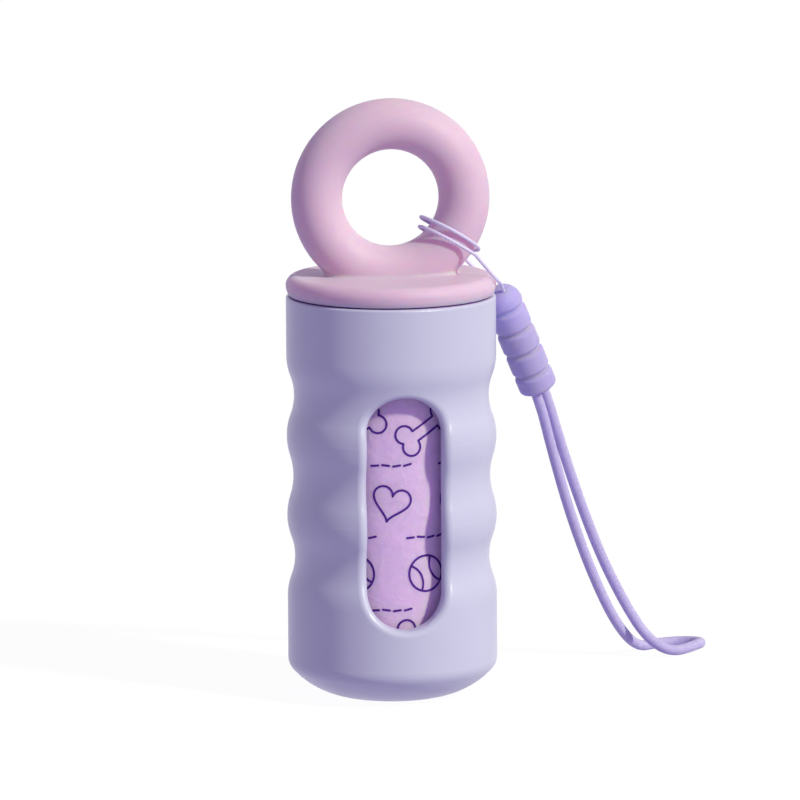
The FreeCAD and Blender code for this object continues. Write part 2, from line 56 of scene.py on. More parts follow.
# Light
KEY_AZIMUTH = 48.5
KEY_ELEVATION = 35.0
KEY_STRENGTH = 2.80
KEY_COLOUR = (0.97, 1.0, 0.79)
KEY_SIZE = 5.0
FILL_COLOUR = (0.250, 0.218, 0.355)
FLOOR_BOUNCE = (0.42, 0.38, 0.56)
WHITE = (1.0, 1.0, 1.0)
FLOOR_GLOW = 0.955
FLOOR_SHADE = (0.075, 0.075, 0.08)
FLOOR_REACH = 4000.0
FLOOR_DROP = 0.02

# Colours, linear
LAVENDER = (0.59, 0.58, 0.77)
PINK = (0.75, 0.56, 0.71)
# Seal colour: a rubber seal, its dark violet partly painted shade, matched to the shaded seam line between
# lid and body.
SEAL_AND_SEAM_SHADE_VIOLET = (0.140, 0.045, 0.220)
CARD_BROWN = (0.42, 0.30, 0.19)
FILM_LILAC = (0.785, 0.570, 0.88)
PRINT_VIOLET = (0.100, 0.026, 0.290)
STRING_LAVENDER = (0.77, 0.71, 0.97)
SLEEVE_PURPLE = (0.49, 0.43, 0.77)
CORD_PURPLE = (0.54, 0.48, 0.76)
STEEL = (0.62, 0.61, 0.63)

# Finishes
SOFT_GLOSS = 0.12
MOTTLE_RANGE = (0.3, 0.7)
FIBRE_RUN = 3.0
FIBRE_TURNS = 40.0
BRAID_PITCH = 2.4
BRAID_STRANDS = 3

# Lid and ring
BODY_RADIUS = 21.0
FLANGE_TOP = 85.0
FLANGE_TOP_ROUND = 2.0
RING_CENTRE_HEIGHT = 100.48
RING_RADIUS = 14.8
RING_TUBE_RADIUS = 5.1

# Thread
THREAD_LEAD = 4.0
THREAD_STARTS = 2
THREAD_ROOT_WIDTH = 0.9
THREAD_CREST_WIDTH = 0.45
THREAD_STEP = 5
THREAD_TAPER = 40
THREAD_SINK = 0.05
PLUG_RADIUS = 16.4
PLUG_CREST = 17.1
PLUG_THREAD_LOW = 76.0
PLUG_THREAD_TURN = 300
MOUTH_RADIUS = 17.5
MOUTH_CREST = 16.8
MOUTH_THREAD_LOW = 73.0
MOUTH_THREAD_TURN = 540

# Bag roll
ROLL_RADIUS = 16.0
ROLL_LOW = 4.8
ROLL_HIGH = 64.8
ROLL_BORE = 6.55
FILM_INSET = 0.16
FILM_STEP = 0.12
FILM_COLUMNS = 256
FILM_ROWS = 150
FILM_EDGE_ROUND = 0.5
FILM_SEAM_ANGLE = 70
SWELL_SCALE = 0.11
SWELL_DEPTH = 0.05
CREASE_SCALE = 0.16
CREASE_DEPTH = 0.14
CREASE_SHARPNESS = 7
CREASE_WARP = 2.2
PATCH_SCALE = 0.07
WIND_PITCH = 0.9
WIND_DEPTH = 0.16
WIND_ROWS = 42
FILM_SEED = 7

# Print on the film
PRINT_WIDTH = 0.46
PRINT_LIFT = 0.05
PRINT_STEP = 0.35
PRINT_COLUMNS = 7
PRINT_ROW_PITCH = 14.6
PRINT_ROWS = 4
PRINT_LOW = 12.3
PRINT_PHASE = -97.0
PRINT_LAP = 5
PRINT_CAP_ANGLES = (40, 75)

# Tubes: sides, points of the route for each control point, and rings of the round ends
STRING_SIDES = 18
CORD_SIDES = 28
TURNS_DETAIL = 14
LEG_DETAIL = 60
KNOT_DETAIL = 8
CORD_DETAIL = 24
CAP_ANGLES = (30, 60, 85)

# String
STRING_RADIUS = 0.37
STRING_STRANDS = 3
STRING_LAY = 2.4
STRING_GROOVE = 0.16
HITCH_RING_ANGLE = 35.6
HITCH_SLOPE = 27.5
HITCH_TILT = 11.0
HITCH_SLACK = 0.9
HITCH_FRONT_SLACK = 0.32
HITCH_SHIFT = 0.31
HITCH_PITCH = 1.9
HITCH_START_ANGLE = -75.0
HITCH_REAR_ANGLE = -270.0
HITCH_WRAP = 531.0
HITCH_POINTS = 36
HITCH_LEAD = 3.9
HITCH_LIFT_WRAP = 150.0
HITCH_LIFT = 0.9
FRONT_LEG_PASSES = ((-21.0, 33.0, 0.75), (-6.6, 0.0, 0.6))
REAR_LEG_PASSES = ((35.0, 36.0, 0.6),)
STRING_TWIST = 39.5
STRING_HOLE_OFFSETS = (0.9, -0.4)

# Sleeve and wrist cord
SLEEVE_REACH = 23.78
SLEEVE_AZIMUTH = 19.68
SLEEVE_TOP = 80.87
SLEEVE_LEAN = 25.97
SLEEVE_HEADING = 29.96
KNOT_TOP = 9.85
KNOT_LENGTH = 3.2
KNOT_RADIUS = 2.2
KNOT_POINTS = 40
KNOT_STRING_RADIUS = 0.45
CORD_RADIUS = 1.05
CORD_SPACING = 1.2
CORD_TWIST = 0.0
CORD_END = 14.45
CORD_MOUTH = 24.85
CORD_FIRST_SHIFT = (0.35, -0.4, 0.1)
CORD_ROUTE = (
    (34.55, 16.2, 45.95),
    (38.25, 19.6, 33.65),
    (42.45, 23.6, 22.3),
    (47.1, 27.0, 11.75),
    (51.3, 31.4, 4.8),
    (55.2, 36.2, 1.1),
    (58.8, 39.1, 1.1),
    (62.8, 40.8, 1.1),
    (66.7, 39.7, 1.3),
    (68.3, 36.2, 1.65),
    (66.9, 32.2, 2.0),
    (60.8, 28.4, 1.1),
    (56.0, 29.4, 4.0),
    (51.6, 30.0, 10.9),
    (46.0, 25.6, 21.8),
    (41.15, 21.3, 33.75),
    (36.85, 17.4, 45.85),
)

scene = bpy.context.scene


# Helpers

def polar(radius, angle, height):
    """Point at a radius and an angle in radians about the canister's axis."""
    return Vector((radius * math.cos(angle), radius * math.sin(angle), height))


def add_object(name, data):
    made = bpy.data.objects.new(name, data)
    scene.collection.objects.link(made)
    return made


def mesh_piece(name, points, faces, material):
    mesh = bpy.data.meshes.new(name)
    mesh.from_pydata([Vector(point) * MM for point in points], [], faces)
    mesh.polygons.foreach_set("use_smooth", [True] * len(mesh.polygons))
    mesh.materials.append(material)
    mesh.update()
    return add_object(name, mesh)


def grid_faces(rows, columns, closed):
    """Quads of a grid of points, row by row, closed round its columns or not."""
    faces = []
    for row in range(rows - 1):
        for column in range(columns if closed else columns - 1):
            after = (column + 1) % columns
            low = row * columns
            high = low + columns
            faces.append((low + column, low + after, high + after, high + column))
    return faces


def finish_piece(piece, body, slot, *nodes):
    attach(piece, body)
    if nodes:
        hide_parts(*nodes)
    return piece


def dress(node, material):
    """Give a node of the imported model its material."""
    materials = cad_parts[node].data.materials
    materials.clear()
    materials.append(material)


# Camera, light and floor

def add_camera():
    azimuth = math.radians(VIEW_AZIMUTH)
    elevation = math.radians(VIEW_ELEVATION)
    roll = math.radians(VIEW_ROLL)
    away = Vector((-math.sin(azimuth), math.cos(azimuth), 0))
    level_right = Vector((math.cos(azimuth), math.sin(azimuth), 0))
    level_up = away * math.sin(elevation) + Z_AXIS * math.cos(elevation)
    right = level_right * math.cos(roll) - level_up * math.sin(roll)
    up = level_up * math.cos(roll) + level_right * math.sin(roll)
    back = right.cross(up)
    across = (FRAME_PIXELS / 2 - FOOT_PIXEL[0]) * PIXEL
    above = (FOOT_PIXEL[1] - FRAME_PIXELS / 2) * PIXEL
    place = right * across + up * above + back * VIEW_DISTANCE
    data = bpy.data.cameras.new("view")
    data.sensor_width = SENSOR_WIDTH
    data.lens = SENSOR_WIDTH * VIEW_DISTANCE / (FRAME_PIXELS * PIXEL)
    camera = add_object("view", data)
    turn = Matrix((right, up, back)).transposed().to_4x4()
    camera.matrix_world = Matrix.Translation(place * MM) @ turn
    scene.camera = camera


def add_key_light():
    light = bpy.data.lights.new("key", "SUN")
    light.energy = KEY_STRENGTH
    light.color = KEY_COLOUR
    light.angle = math.radians(KEY_SIZE)
    key = add_object("key", light)
    key.rotation_euler = (math.radians(90 - KEY_ELEVATION), 0, math.radians(KEY_AZIMUTH))


def seen_share(nodes, links):
    """Socket that is 1 for rays that show the background, seen or mirrored."""
    path = nodes.new("ShaderNodeLightPath")
    first = nodes.new("ShaderNodeMath")
    first.operation = "MAXIMUM"
    links.new(path.outputs["Is Camera Ray"], first.inputs[0])
    links.new(path.outputs["Is Glossy Ray"], first.inputs[1])
    second = nodes.new("ShaderNodeMath")
    second.operation = "MAXIMUM"
    links.new(first.outputs[0], second.inputs[0])
    links.new(path.outputs["Is Transmission Ray"], second.inputs[1])
    return second.outputs[0]


def add_world():
    world = bpy.data.worlds.new("studio")
    world.use_nodes = True
    nodes = world.node_tree.nodes
    links = world.node_tree.links
    mix = nodes.new("ShaderNodeMix")
    mix.data_type = "RGBA"
    mix.inputs["A"].default_value = (*FILL_COLOUR, 1)
    mix.inputs["B"].default_value = (*WHITE, 1)
    links.new(seen_share(nodes, links), mix.inputs["Factor"])
    links.new(mix.outputs["Result"], nodes["Background"].inputs["Color"])
    scene.world = world


def floor_material():
    material = bpy.data.materials.new("floor")
    material.use_nodes = True
    nodes = material.node_tree.nodes
    links = material.node_tree.links
    nodes.remove(nodes["Principled BSDF"])
    bounce = nodes.new("ShaderNodeEmission")
    bounce.inputs["Color"].default_value = (*FLOOR_BOUNCE, 1)
    shade = nodes.new("ShaderNodeBsdfDiffuse")
    shade.inputs["Color"].default_value = (*FLOOR_SHADE, 1)
    glow = nodes.new("ShaderNodeEmission")
    glow.inputs["Strength"].default_value = FLOOR_GLOW
    seen = nodes.new("ShaderNodeAddShader")
    links.new(shade.outputs[0], seen.inputs[0])
    links.new(glow.outputs[0], seen.inputs[1])
    mix = nodes.new("ShaderNodeMixShader")
    links.new(seen_share(nodes, links), mix.inputs[0])
    links.new(bounce.outputs[0], mix.inputs[1])
    links.new(seen.outputs[0], mix.inputs[2])
    links.new(mix.outputs[0], nodes["Material Output"].inputs["Surface"])
    return material


def add_floor():
    corners = [(-1, -1), (1, -1), (1, 1), (-1, 1)]
    points = [(x * FLOOR_REACH, y * FLOOR_REACH, -FLOOR_DROP) for x, y in corners]
    mesh_piece("floor", points, [(0, 1, 2, 3)], floor_material())


# Materials

class Finish:
    """A material under construction, with its shader and shared inputs."""

    def __init__(self, name, colour, roughness):
        self.material = bpy.data.materials.new(name)
        self.material.use_nodes = True
        self.nodes = self.material.node_tree.nodes
        self.links = self.material.node_tree.links
        self.shader = self.nodes["Principled BSDF"]
        self.coordinates = self.nodes.new("ShaderNodeTexCoord")
        self.colour = colour
        self.set("Base Color", (*colour, 1))
        self.set("Roughness", roughness)

    def set(self, name, value):
        self.shader.inputs[name].default_value = value

    def noise(self, size, detail=2.0, distortion=0.0):
        """Noise whose features are about this many millimetres across."""
        texture = self.nodes.new("ShaderNodeTexNoise")
        texture.inputs["Scale"].default_value = 1 / (size * MM)
        texture.inputs["Detail"].default_value = detail
        texture.inputs["Distortion"].default_value = distortion
        self.links.new(self.coordinates.outputs["Object"], texture.inputs["Vector"])
        return texture.outputs["Fac"]

    def calculate(self, operation, first, second=None):
        """Socket of one calculation on sockets or numbers."""
        node = self.nodes.new("ShaderNodeMath")
        node.operation = operation
        for socket, value in zip(node.inputs, (first, second)):
            if isinstance(value, (int, float)):
                socket.default_value = value
            elif value is not None:
                self.links.new(value, socket)
        return node.outputs[0]

    def mottle(self, source, spread):
        """Vary the colour by a share either way, from a source between 0 and 1."""
        ramp = self.nodes.new("ShaderNodeValToRGB")
        low, high = ramp.color_ramp.elements
        low.position, high.position = MOTTLE_RANGE
        low.color = (*[channel * (1 - spread) for channel in self.colour], 1)
        high.color = (*[min(1, channel * (1 + spread)) for channel in self.colour], 1)
        self.links.new(source, ramp.inputs["Fac"])
        self.links.new(ramp.outputs["Color"], self.shader.inputs["Base Color"])

    def scuff(self, source, low, high):
        """Vary the roughness between two values."""
        spread = self.nodes.new("ShaderNodeMapRange")
        spread.inputs["To Min"].default_value = low
        spread.inputs["To Max"].default_value = high
        self.links.new(source, spread.inputs["Value"])
        self.links.new(spread.outputs["Result"], self.shader.inputs["Roughness"])

    def bump(self, source, depth, strength=1.0):
        """Raise the surface by a source, with a depth in millimetres."""
        node = self.nodes.new("ShaderNodeBump")
        node.inputs["Strength"].default_value = strength
        node.inputs["Distance"].default_value = depth * MM
        self.links.new(source, node.inputs["Height"])
        before = self.shader.inputs["Normal"].links
        if before:
            self.links.new(before[0].from_socket, node.inputs["Normal"])
        self.links.new(node.outputs["Normal"], self.shader.inputs["Normal"])

    def let_light_in(self, depth, reach):
        """Let a share of the light into the surface, by these millimetres for red, green and blue."""
        self.set("Subsurface Weight", depth)
        self.set("Subsurface Radius", reach)
        self.set("Subsurface Scale", MM)

    def crease(self, size, sharpness):
        """Thin ridges that wander, strong in some patches and gone in others."""
        offset = self.calculate("SUBTRACT", self.noise(size, detail=3.0, distortion=1.0), 0.5)
        slope = self.calculate("MULTIPLY", self.calculate("ABSOLUTE", offset), sharpness)
        ridge = self.calculate("SUBTRACT", 1.0, self.calculate("MINIMUM", slope, 1.0))
        return self.calculate("MULTIPLY", ridge, self.noise(2 * size))

    def around(self):
        """Sockets of the length in millimetres and of the turn, 0 to 1, along a tube."""
        split = self.nodes.new("ShaderNodeSeparateXYZ")
        self.links.new(self.coordinates.outputs["UV"], split.inputs[0])
        return split.outputs["X"], split.outputs["Y"]


def moulded_plastic(name, colour, roughness, gloss, depth, reach):
    """Satin moulded plastic with a fine spark-eroded grain, which lets in some light."""
    finish = Finish(name, colour, roughness)
    finish.mottle(finish.noise(9.0, detail=3.0), spread=0.012)
    finish.scuff(finish.noise(2.5, detail=4.0), low=roughness - 0.05, high=roughness + 0.05)
    finish.bump(finish.noise(0.22, detail=1.0), depth=0.004, strength=0.35)
    finish.set("Specular IOR Level", gloss)
    finish.let_light_in(depth, reach)
    return finish.material


def seal_and_seam_shade_material():
    # Rubber seal whose dark violet is partly painted shade of the seam between lid and body.
    finish = Finish("seal_rubber", SEAL_AND_SEAM_SHADE_VIOLET, roughness=0.7)
    finish.mottle(finish.noise(1.2, detail=3.0), spread=0.15)
    finish.bump(finish.noise(0.15), depth=0.01, strength=0.5)
    finish.set("Specular IOR Level", SOFT_GLOSS)
    return finish.material


def card_material():
    """Card with its paper fibre."""
    finish = Finish("core_card", CARD_BROWN, roughness=0.85)
    finish.mottle(finish.noise(0.9, detail=6.0, distortion=1.5), spread=0.18)
    finish.bump(finish.noise(0.3, detail=4.0), depth=0.03, strength=0.6)
    return finish.material


def film_material():
    """Thin bag film with fine creases and a soft gloss."""
    finish = Finish("bag_film", FILM_LILAC, roughness=0.42)
    finish.mottle(finish.noise(4.0, detail=5.0, distortion=2.5), spread=0.05)
    finish.scuff(finish.noise(1.5, detail=3.0), low=0.36, high=0.50)
    finish.bump(finish.crease(5.0, sharpness=14.0), depth=0.10, strength=0.5)
    finish.bump(finish.noise(2.6, detail=4.0, distortion=2.0), depth=0.10, strength=0.3)
    finish.bump(finish.noise(0.5), depth=0.012, strength=0.3)
    finish.set("Specular IOR Level", SOFT_GLOSS)
    finish.let_light_in(depth=0.6, reach=(3.0, 1.0, 5.0))
    return finish.material


def print_material():
    finish = Finish("print_ink", PRINT_VIOLET, roughness=0.42)
    finish.mottle(finish.noise(0.4, detail=3.0), spread=0.25)
    finish.bump(finish.noise(2.6, detail=4.0, distortion=2.0), depth=0.10, strength=0.35)
    finish.set("Specular IOR Level", SOFT_GLOSS)
    return finish.material


def string_material():
    """Twisted fibres that run along the strands."""
    finish = Finish("string_fibre", STRING_LAVENDER, roughness=0.55)
    length, turn = finish.around()
    run = finish.calculate("MULTIPLY", length, FIBRE_RUN)
    slant = finish.calculate("ADD", run, finish.calculate("MULTIPLY", turn, FIBRE_TURNS))
    finish.mottle(finish.noise(0.5, detail=3.0), spread=0.05)
    finish.bump(finish.calculate("SINE", slant), depth=0.012, strength=0.5)
    finish.set("Specular IOR Level", SOFT_GLOSS)
    finish.set("Sheen Weight", 0.1)
    return finish.material


def cord_material():
    """Round braid: two sets of slanted strands that cross."""
    finish = Finish("cord_fibre", CORD_PURPLE, roughness=0.5)
    length, turn = finish.around()
    run = finish.calculate("MULTIPLY", length, 2 * math.pi / BRAID_PITCH)
    round_turn = finish.calculate("MULTIPLY", turn, 2 * math.pi * BRAID_STRANDS)
    left = finish.calculate("SINE", finish.calculate("ADD", run, round_turn))
    right = finish.calculate("SINE", finish.calculate("SUBTRACT", run, round_turn))
    finish.mottle(finish.noise(1.6, detail=3.0), spread=0.03)
    finish.bump(finish.calculate("MULTIPLY", left, right), depth=0.02, strength=0.35)
    finish.set("Specular IOR Level", SOFT_GLOSS)
    finish.set("Sheen Weight", 0.12)
    finish.let_light_in(depth=0.8, reach=(1.6, 1.3, 1.8))
    return finish.material


def steel_material():
    finish = Finish("crimp_metal", STEEL, roughness=0.32)
    finish.set("Metallic", 1.0)
    finish.mottle(finish.noise(1.5, detail=4.0), spread=0.06)
    finish.scuff(finish.noise(0.6, detail=4.0), low=0.24, high=0.42)
    return finish.material


# Threads of the plug and the mouth

def thread_section(root, crest, share):
    """Profile of the ridge: radius and half height, out to a share of its depth."""
    top = root + (crest - root) * share
    sunk = root - math.copysign(THREAD_SINK, crest - root)
    return [
        (sunk, -THREAD_ROOT_WIDTH / 2),
        (top, -THREAD_CREST_WIDTH / 2),
        (top, THREAD_CREST_WIDTH / 2),
        (sunk, THREAD_ROOT_WIDTH / 2),
    ]


def thread_piece(name, root, crest, low, turn, material):
    """Ridges that climb round the axis, tapered at both ends."""
    points = []
    faces = []
    corners = len(thread_section(root, crest, 1))
    steps = turn // THREAD_STEP + 1
    for start in range(THREAD_STARTS):
        first = len(points)
        for step in range(steps):
            run = step * THREAD_STEP
            share = min(1.0, run / THREAD_TAPER, (turn - run) / THREAD_TAPER)
            angle = math.radians(run + 360 * start / THREAD_STARTS)
            height = low + THREAD_LEAD * run / 360
            for radius, rise in thread_section(root, crest, share):
                points.append(polar(radius, angle, height + rise))
        for face in grid_faces(steps, corners, True):
            faces.append(tuple(first + index for index in face))
        faces.append(tuple(first + index for index in range(corners)))
        last = first + (steps - 1) * corners
        faces.append(tuple(last + index for index in reversed(range(corners))))
    return mesh_piece(name, points, faces, material)


# Film of the bag roll

def film_radius(angle, height):
    """Radius of the outer wrap, with its step, swells and creases."""
    place = polar(ROLL_RADIUS, angle, height)
    warp = noise.noise_vector(place * SWELL_SCALE) * CREASE_WARP
    ridge = 1 - abs(noise.noise((place + warp) * CREASE_SCALE))
    patch = 0.5 + 0.5 * noise.noise(place * PATCH_SCALE)
    swell = SWELL_DEPTH * noise.noise(place * SWELL_SCALE)
    crease = CREASE_DEPTH * patch * ridge ** CREASE_SHARPNESS
    turn = (angle - math.radians(FILM_SEAM_ANGLE)) % (2 * math.pi)
    return ROLL_RADIUS - FILM_INSET - FILM_STEP * turn / (2 * math.pi) + swell + crease - SWELL_DEPTH


def wind_dip(radius, wind):
    """Depth of the groove between the wraps at the roll's ends."""
    return WIND_DEPTH * (0.5 - 0.5 * math.cos(2 * math.pi * (radius / WIND_PITCH - wind)))


def film_profile(angle):
    """Closed section of the roll at an angle: side, wound top, bore and wound foot."""
    points = []
    for row in range(FILM_ROWS + 1):
        share = row / FILM_ROWS
        height = ROLL_LOW + (ROLL_HIGH - ROLL_LOW) * share
        edge = min(height - ROLL_LOW, ROLL_HIGH - height)
        tuck = FILM_EDGE_ROUND * max(0.0, 1 - edge / FILM_EDGE_ROUND) ** 2
        points.append(polar(film_radius(angle, height) - tuck, angle, height))
    top = points[-1].xy.length
    foot = points[0].xy.length
    wind = angle / (2 * math.pi)
    for row in range(1, WIND_ROWS + 1):
        radius = top + (ROLL_BORE - top) * row / WIND_ROWS
        points.append(polar(radius, angle, ROLL_HIGH - wind_dip(radius, wind)))
    for row in range(WIND_ROWS):
        radius = ROLL_BORE + (foot - ROLL_BORE) * row / WIND_ROWS
        points.append(polar(radius, angle, ROLL_LOW + wind_dip(radius, wind)))
    return points


def film_piece(material):
    points = []
    for column in range(FILM_COLUMNS):
        angle = math.radians(FILM_SEAM_ANGLE + 360 * (column + 0.5) / FILM_COLUMNS)
        points += film_profile(angle)
    size = len(points) // FILM_COLUMNS
    faces = grid_faces(FILM_COLUMNS, size, True)
    for index in range(size):
        after = (index + 1) % size
        last = (FILM_COLUMNS - 1) * size
        faces.append((last + index, last + after, after, index))
    return mesh_piece("film_roll", points, faces, material)


# Print on the film, in millimetres along the film and up it

def arc_points(centre, radius, start, end):
    """Points of an arc, with angles in degrees."""
    steps = max(4, int(abs(math.radians(end - start)) * radius / PRINT_STEP))
    angles = [math.radians(start + (end - start) * step / steps) for step in range(steps + 1)]
    return [(centre[0] + radius * math.cos(a), centre[1] + radius * math.sin(a)) for a in angles]


def bone_strokes():
    """Outline of a bone with two knobs at each end."""
    reach, spread, knob, waist = 4.4, 1.45, 1.8, 1.15
    meet = math.degrees(math.asin((spread - waist) / knob))
    notch = math.degrees(math.asin(spread / knob))
    half = arc_points((reach, spread), knob, 180 + meet, -notch)
    half += arc_points((reach, -spread), knob, notch, -180 - meet)
    other = [(-x, -y) for x, y in half]
    return [half + other + half[:2]]


def ball_strokes():
    """Ball with two curved seams."""
    size, seam, shift = 3.6, 3.9, 5.0
    meet = math.degrees(math.acos((shift ** 2 + seam ** 2 - size ** 2) / (2 * shift * seam)))
    return [
        arc_points((0, 0), size, 0, 360 + PRINT_LAP),
        arc_points((shift, 0), seam, 180 - meet, 180 + meet),
        arc_points((-shift, 0), seam, -meet, meet),
    ]


def heart_strokes():
    """Heart, from the usual sum of waves for its outline."""
    size, steps = 0.24, 44
    outline = []
    for step in range(steps + 1):
        turn = 2 * math.pi * step / steps
        across = 16 * math.sin(turn) ** 3
        rise = 13 * math.cos(turn) - 5 * math.cos(2 * turn) - 2 * math.cos(3 * turn) - math.cos(4 * turn)
        outline.append((size * across, size * rise))
    return [outline]


def dash_strokes():
    """Row of short dashes, each raised and tilted a little in its own way."""
    begin, pitch, length = -4.0, 2.2, 1.4
    strokes = []
    for index, (rise, lean) in enumerate(((0.0, 0.1), (0.2, -0.15), (-0.1, 0.2), (0.0, 0.35))):
        left = begin + pitch * index
        middle = (left + length / 2, rise + lean / 2)
        strokes.append([(left, rise), middle, (left + length, rise + lean)])
    return strokes


def spread_strokes():
    """Strokes all over the film, in staggered rows of three motifs, each with its tilt."""
    pitch = 2 * math.pi * ROLL_RADIUS / PRINT_COLUMNS
    start = math.radians(PRINT_PHASE) * ROLL_RADIUS
    makers = ((bone_strokes, 32), (heart_strokes, -14), (ball_strokes, 24))
    placed = []
    for row in range(PRINT_ROWS):
        for column in range(PRINT_COLUMNS):
            maker, tilt = makers[(2 * row + column) % len(makers)]
            centre = (start + (column + 0.5 * (row % 2)) * pitch, PRINT_LOW + row * PRINT_ROW_PITCH)
            placed.append((maker(), centre, tilt))
            between = (centre[0] + 0.5 * pitch, centre[1] - 0.5 * PRINT_ROW_PITCH)
            placed.append((dash_strokes(), between, 0))
    return placed


def resampled(stroke):
    """Stroke with points no further apart than the print step."""
    points = [Vector(stroke[0])]
    for point in stroke[1:]:
        start = points[-1].copy()
        reach = Vector(point) - start
        steps = max(1, math.ceil(reach.length / PRINT_STEP))
        points += [start + reach * (step + 1) / steps for step in range(steps)]
    return points


def ribbon(stroke):
    """Left and right edges of a stroke with round ends."""
    points = resampled(stroke)
    half = PRINT_WIDTH / 2
    pairs = []
    for index, point in enumerate(points):
        before = points[max(0, index - 1)]
        after = points[min(len(points) - 1, index + 1)]
        heading = (after - before).normalized()
        side = Vector((-heading.y, heading.x)) * half
        pairs.append((point + side, point - side))
    for end, sign in ((0, -1), (-1, 1)):
        inner = points[0] if end == 0 else points[-1]
        other = points[1] if end == 0 else points[-2]
        heading = (inner - other).normalized()
        side = Vector((-heading.y, heading.x)) * half * sign
        for turn in PRINT_CAP_ANGLES:
            swing = math.radians(turn)
            tip = inner + heading * half * math.sin(swing)
            edge = side * math.cos(swing)
            pair = (tip + edge, tip - edge)
            if end == 0:
                pairs.insert(0, pair)
            else:
                pairs.append(pair)
    return pairs


def on_film(place):
    """Point of the film just over its surface."""
    angle = place.x / ROLL_RADIUS
    return polar(film_radius(angle, place.y) + PRINT_LIFT, angle, place.y)


def print_piece(material):
    points = []
    faces = []
    for strokes, centre, tilt in spread_strokes():
        turn = Matrix.Rotation(math.radians(tilt), 2)
        for stroke in strokes:
            first = len(points)
            pairs = ribbon([turn @ Vector(point) + Vector(centre) for point in stroke])
            for left, right in pairs:
                points += [on_film(left), on_film((left + right) / 2), on_film(right)]
            for face in grid_faces(len(pairs), 3, False):
                faces.append(tuple(first + index for index in reversed(face)))
    return mesh_piece("film_print", points, faces, material)


# Cords

def spline_points(points, per_point):
    """Points of the smooth spline that these control points give."""
    curve = bpy.data.curves.new("route", "CURVE")
    curve.dimensions = "3D"
    spline = curve.splines.new("NURBS")
    spline.points.add(len(points) - 1)
    for control, point in zip(spline.points, points):
        control.co = (*point, 1.0)
    spline.order_u = 3
    spline.use_endpoint_u = True
    spline.resolution_u = per_point
    holder = bpy.data.objects.new("route", curve)
    mesh = bpy.data.meshes.new_from_object(holder)
    route = [vertex.co.copy() for vertex in mesh.vertices]
    bpy.data.meshes.remove(mesh)
    bpy.data.objects.remove(holder)
    bpy.data.curves.remove(curve)
    return route


def carried_frames(route):
    """Two directions across the route at each point, carried along without twist."""
    frames = []
    across = None
    for index, point in enumerate(route):
        before = route[max(0, index - 1)]
        after = route[min(len(route) - 1, index + 1)]
        heading = (after - before).normalized()
        if across is None:
            across = heading.orthogonal()
        across = (across - heading * across.dot(heading)).normalized()
        frames.append((heading, across, heading.cross(across)))
    return frames


def tube_stations(route, radius):
    """Centre, frame, radius and length at each ring of a tube with half round ends."""
    frames = carried_frames(route)
    stations = []
    length = 0.0
    for index, (point, around) in enumerate(zip(route, frames)):
        if index:
            length += (point - route[index - 1]).length
        stations.append((point, around, radius, length))
    caps = [math.radians(angle) for angle in CAP_ANGLES]
    for end, sign in ((0, -1), (-1, 1)):
        point, around, _, length = stations[end]
        for angle in caps:
            reach = sign * radius * math.sin(angle)
            ring = (point + around[0] * reach, around, radius * math.cos(angle), length + reach)
            if end == 0:
                stations.insert(0, ring)
            else:
                stations.append(ring)
    return stations


def tube_piece(name, route, radius, sides, material, strands=0, lay=1.0, groove=0.0):
    """Tube along a route, round or of twisted strands, mapped by length and turn."""
    stations = tube_stations(route, radius)
    points = []
    for centre, (_, across, beside), size, length in stations:
        for side in range(sides):
            turn = 2 * math.pi * side / sides
            lobe = abs(math.sin(strands / 2 * (turn - 2 * math.pi * length / lay))) if strands else 1.0
            reach = size * (1 - groove * (1 - lobe))
            points.append(centre + (across * math.cos(turn) + beside * math.sin(turn)) * reach)
    faces = grid_faces(len(stations), sides, True)
    faces.append(tuple(reversed(range(sides))))
    faces.append(tuple(range(len(points) - sides, len(points))))
    piece = mesh_piece(name, points, faces, material)
    layer = piece.data.uv_layers.new(name="along")
    for face in range((len(stations) - 1) * sides):
        row, side = divmod(face, sides)
        low, high = stations[row][3], stations[row + 1][3]
        spots = ((low, side), (low, side + 1), (high, side + 1), (high, side))
        for loop, (length, turn) in zip(piece.data.polygons[face].loop_indices, spots):
            layer.data[loop].uv = (length, turn / sides)
    return piece


def string_piece(name, points, per_point, radius, material):
    route = spline_points(points, per_point)
    twist = {"strands": STRING_STRANDS, "lay": STRING_LAY, "groove": STRING_GROOVE}
    return tube_piece(name, route, radius, STRING_SIDES, material, **twist), route


# String round the ring

def hitch_frame():
    """Centre of the turns, and directions outward, to the rear and along their axis."""
    angle = math.radians(HITCH_RING_ANGLE)
    slope = math.radians(HITCH_SLOPE)
    tilt = math.radians(HITCH_TILT)
    radial = Vector((math.cos(angle), 0, -math.sin(angle)))
    outward = Vector((math.cos(slope), 0, -math.sin(slope)))
    along = Vector((math.sin(slope), 0, math.cos(slope)))
    rearward = Y_AXIS * math.cos(tilt) - along * math.sin(tilt)
    axis = along * math.cos(tilt) + Y_AXIS * math.sin(tilt)
    centre = Z_AXIS * RING_CENTRE_HEIGHT + radial * RING_RADIUS - outward * HITCH_SHIFT
    return centre, outward, rearward, axis


def hitch_station(wrap):
    """Point and heading of the turns after a wrap angle from the front start."""
    centre, outward, rearward, axis = hitch_frame()
    angle = math.radians(HITCH_START_ANGLE - wrap)
    climb_rate = HITCH_PITCH / (2 * math.pi)
    climb = climb_rate * (math.radians(HITCH_REAR_ANGLE) - angle)
    lift = HITCH_LIFT * max(0.0, 1 - (HITCH_WRAP - wrap) / HITCH_LIFT_WRAP)
    snug = RING_TUBE_RADIUS + STRING_RADIUS
    reach = snug + HITCH_SLACK + lift
    depth = (snug + HITCH_FRONT_SLACK) / math.cos(math.radians(HITCH_TILT)) + lift
    spoke = outward * (reach * math.cos(angle)) + rearward * (depth * math.sin(angle))
    sweep = outward * (reach * math.sin(angle)) - rearward * (depth * math.cos(angle))
    return centre + spoke + axis * climb, (sweep + axis * climb_rate).normalized()


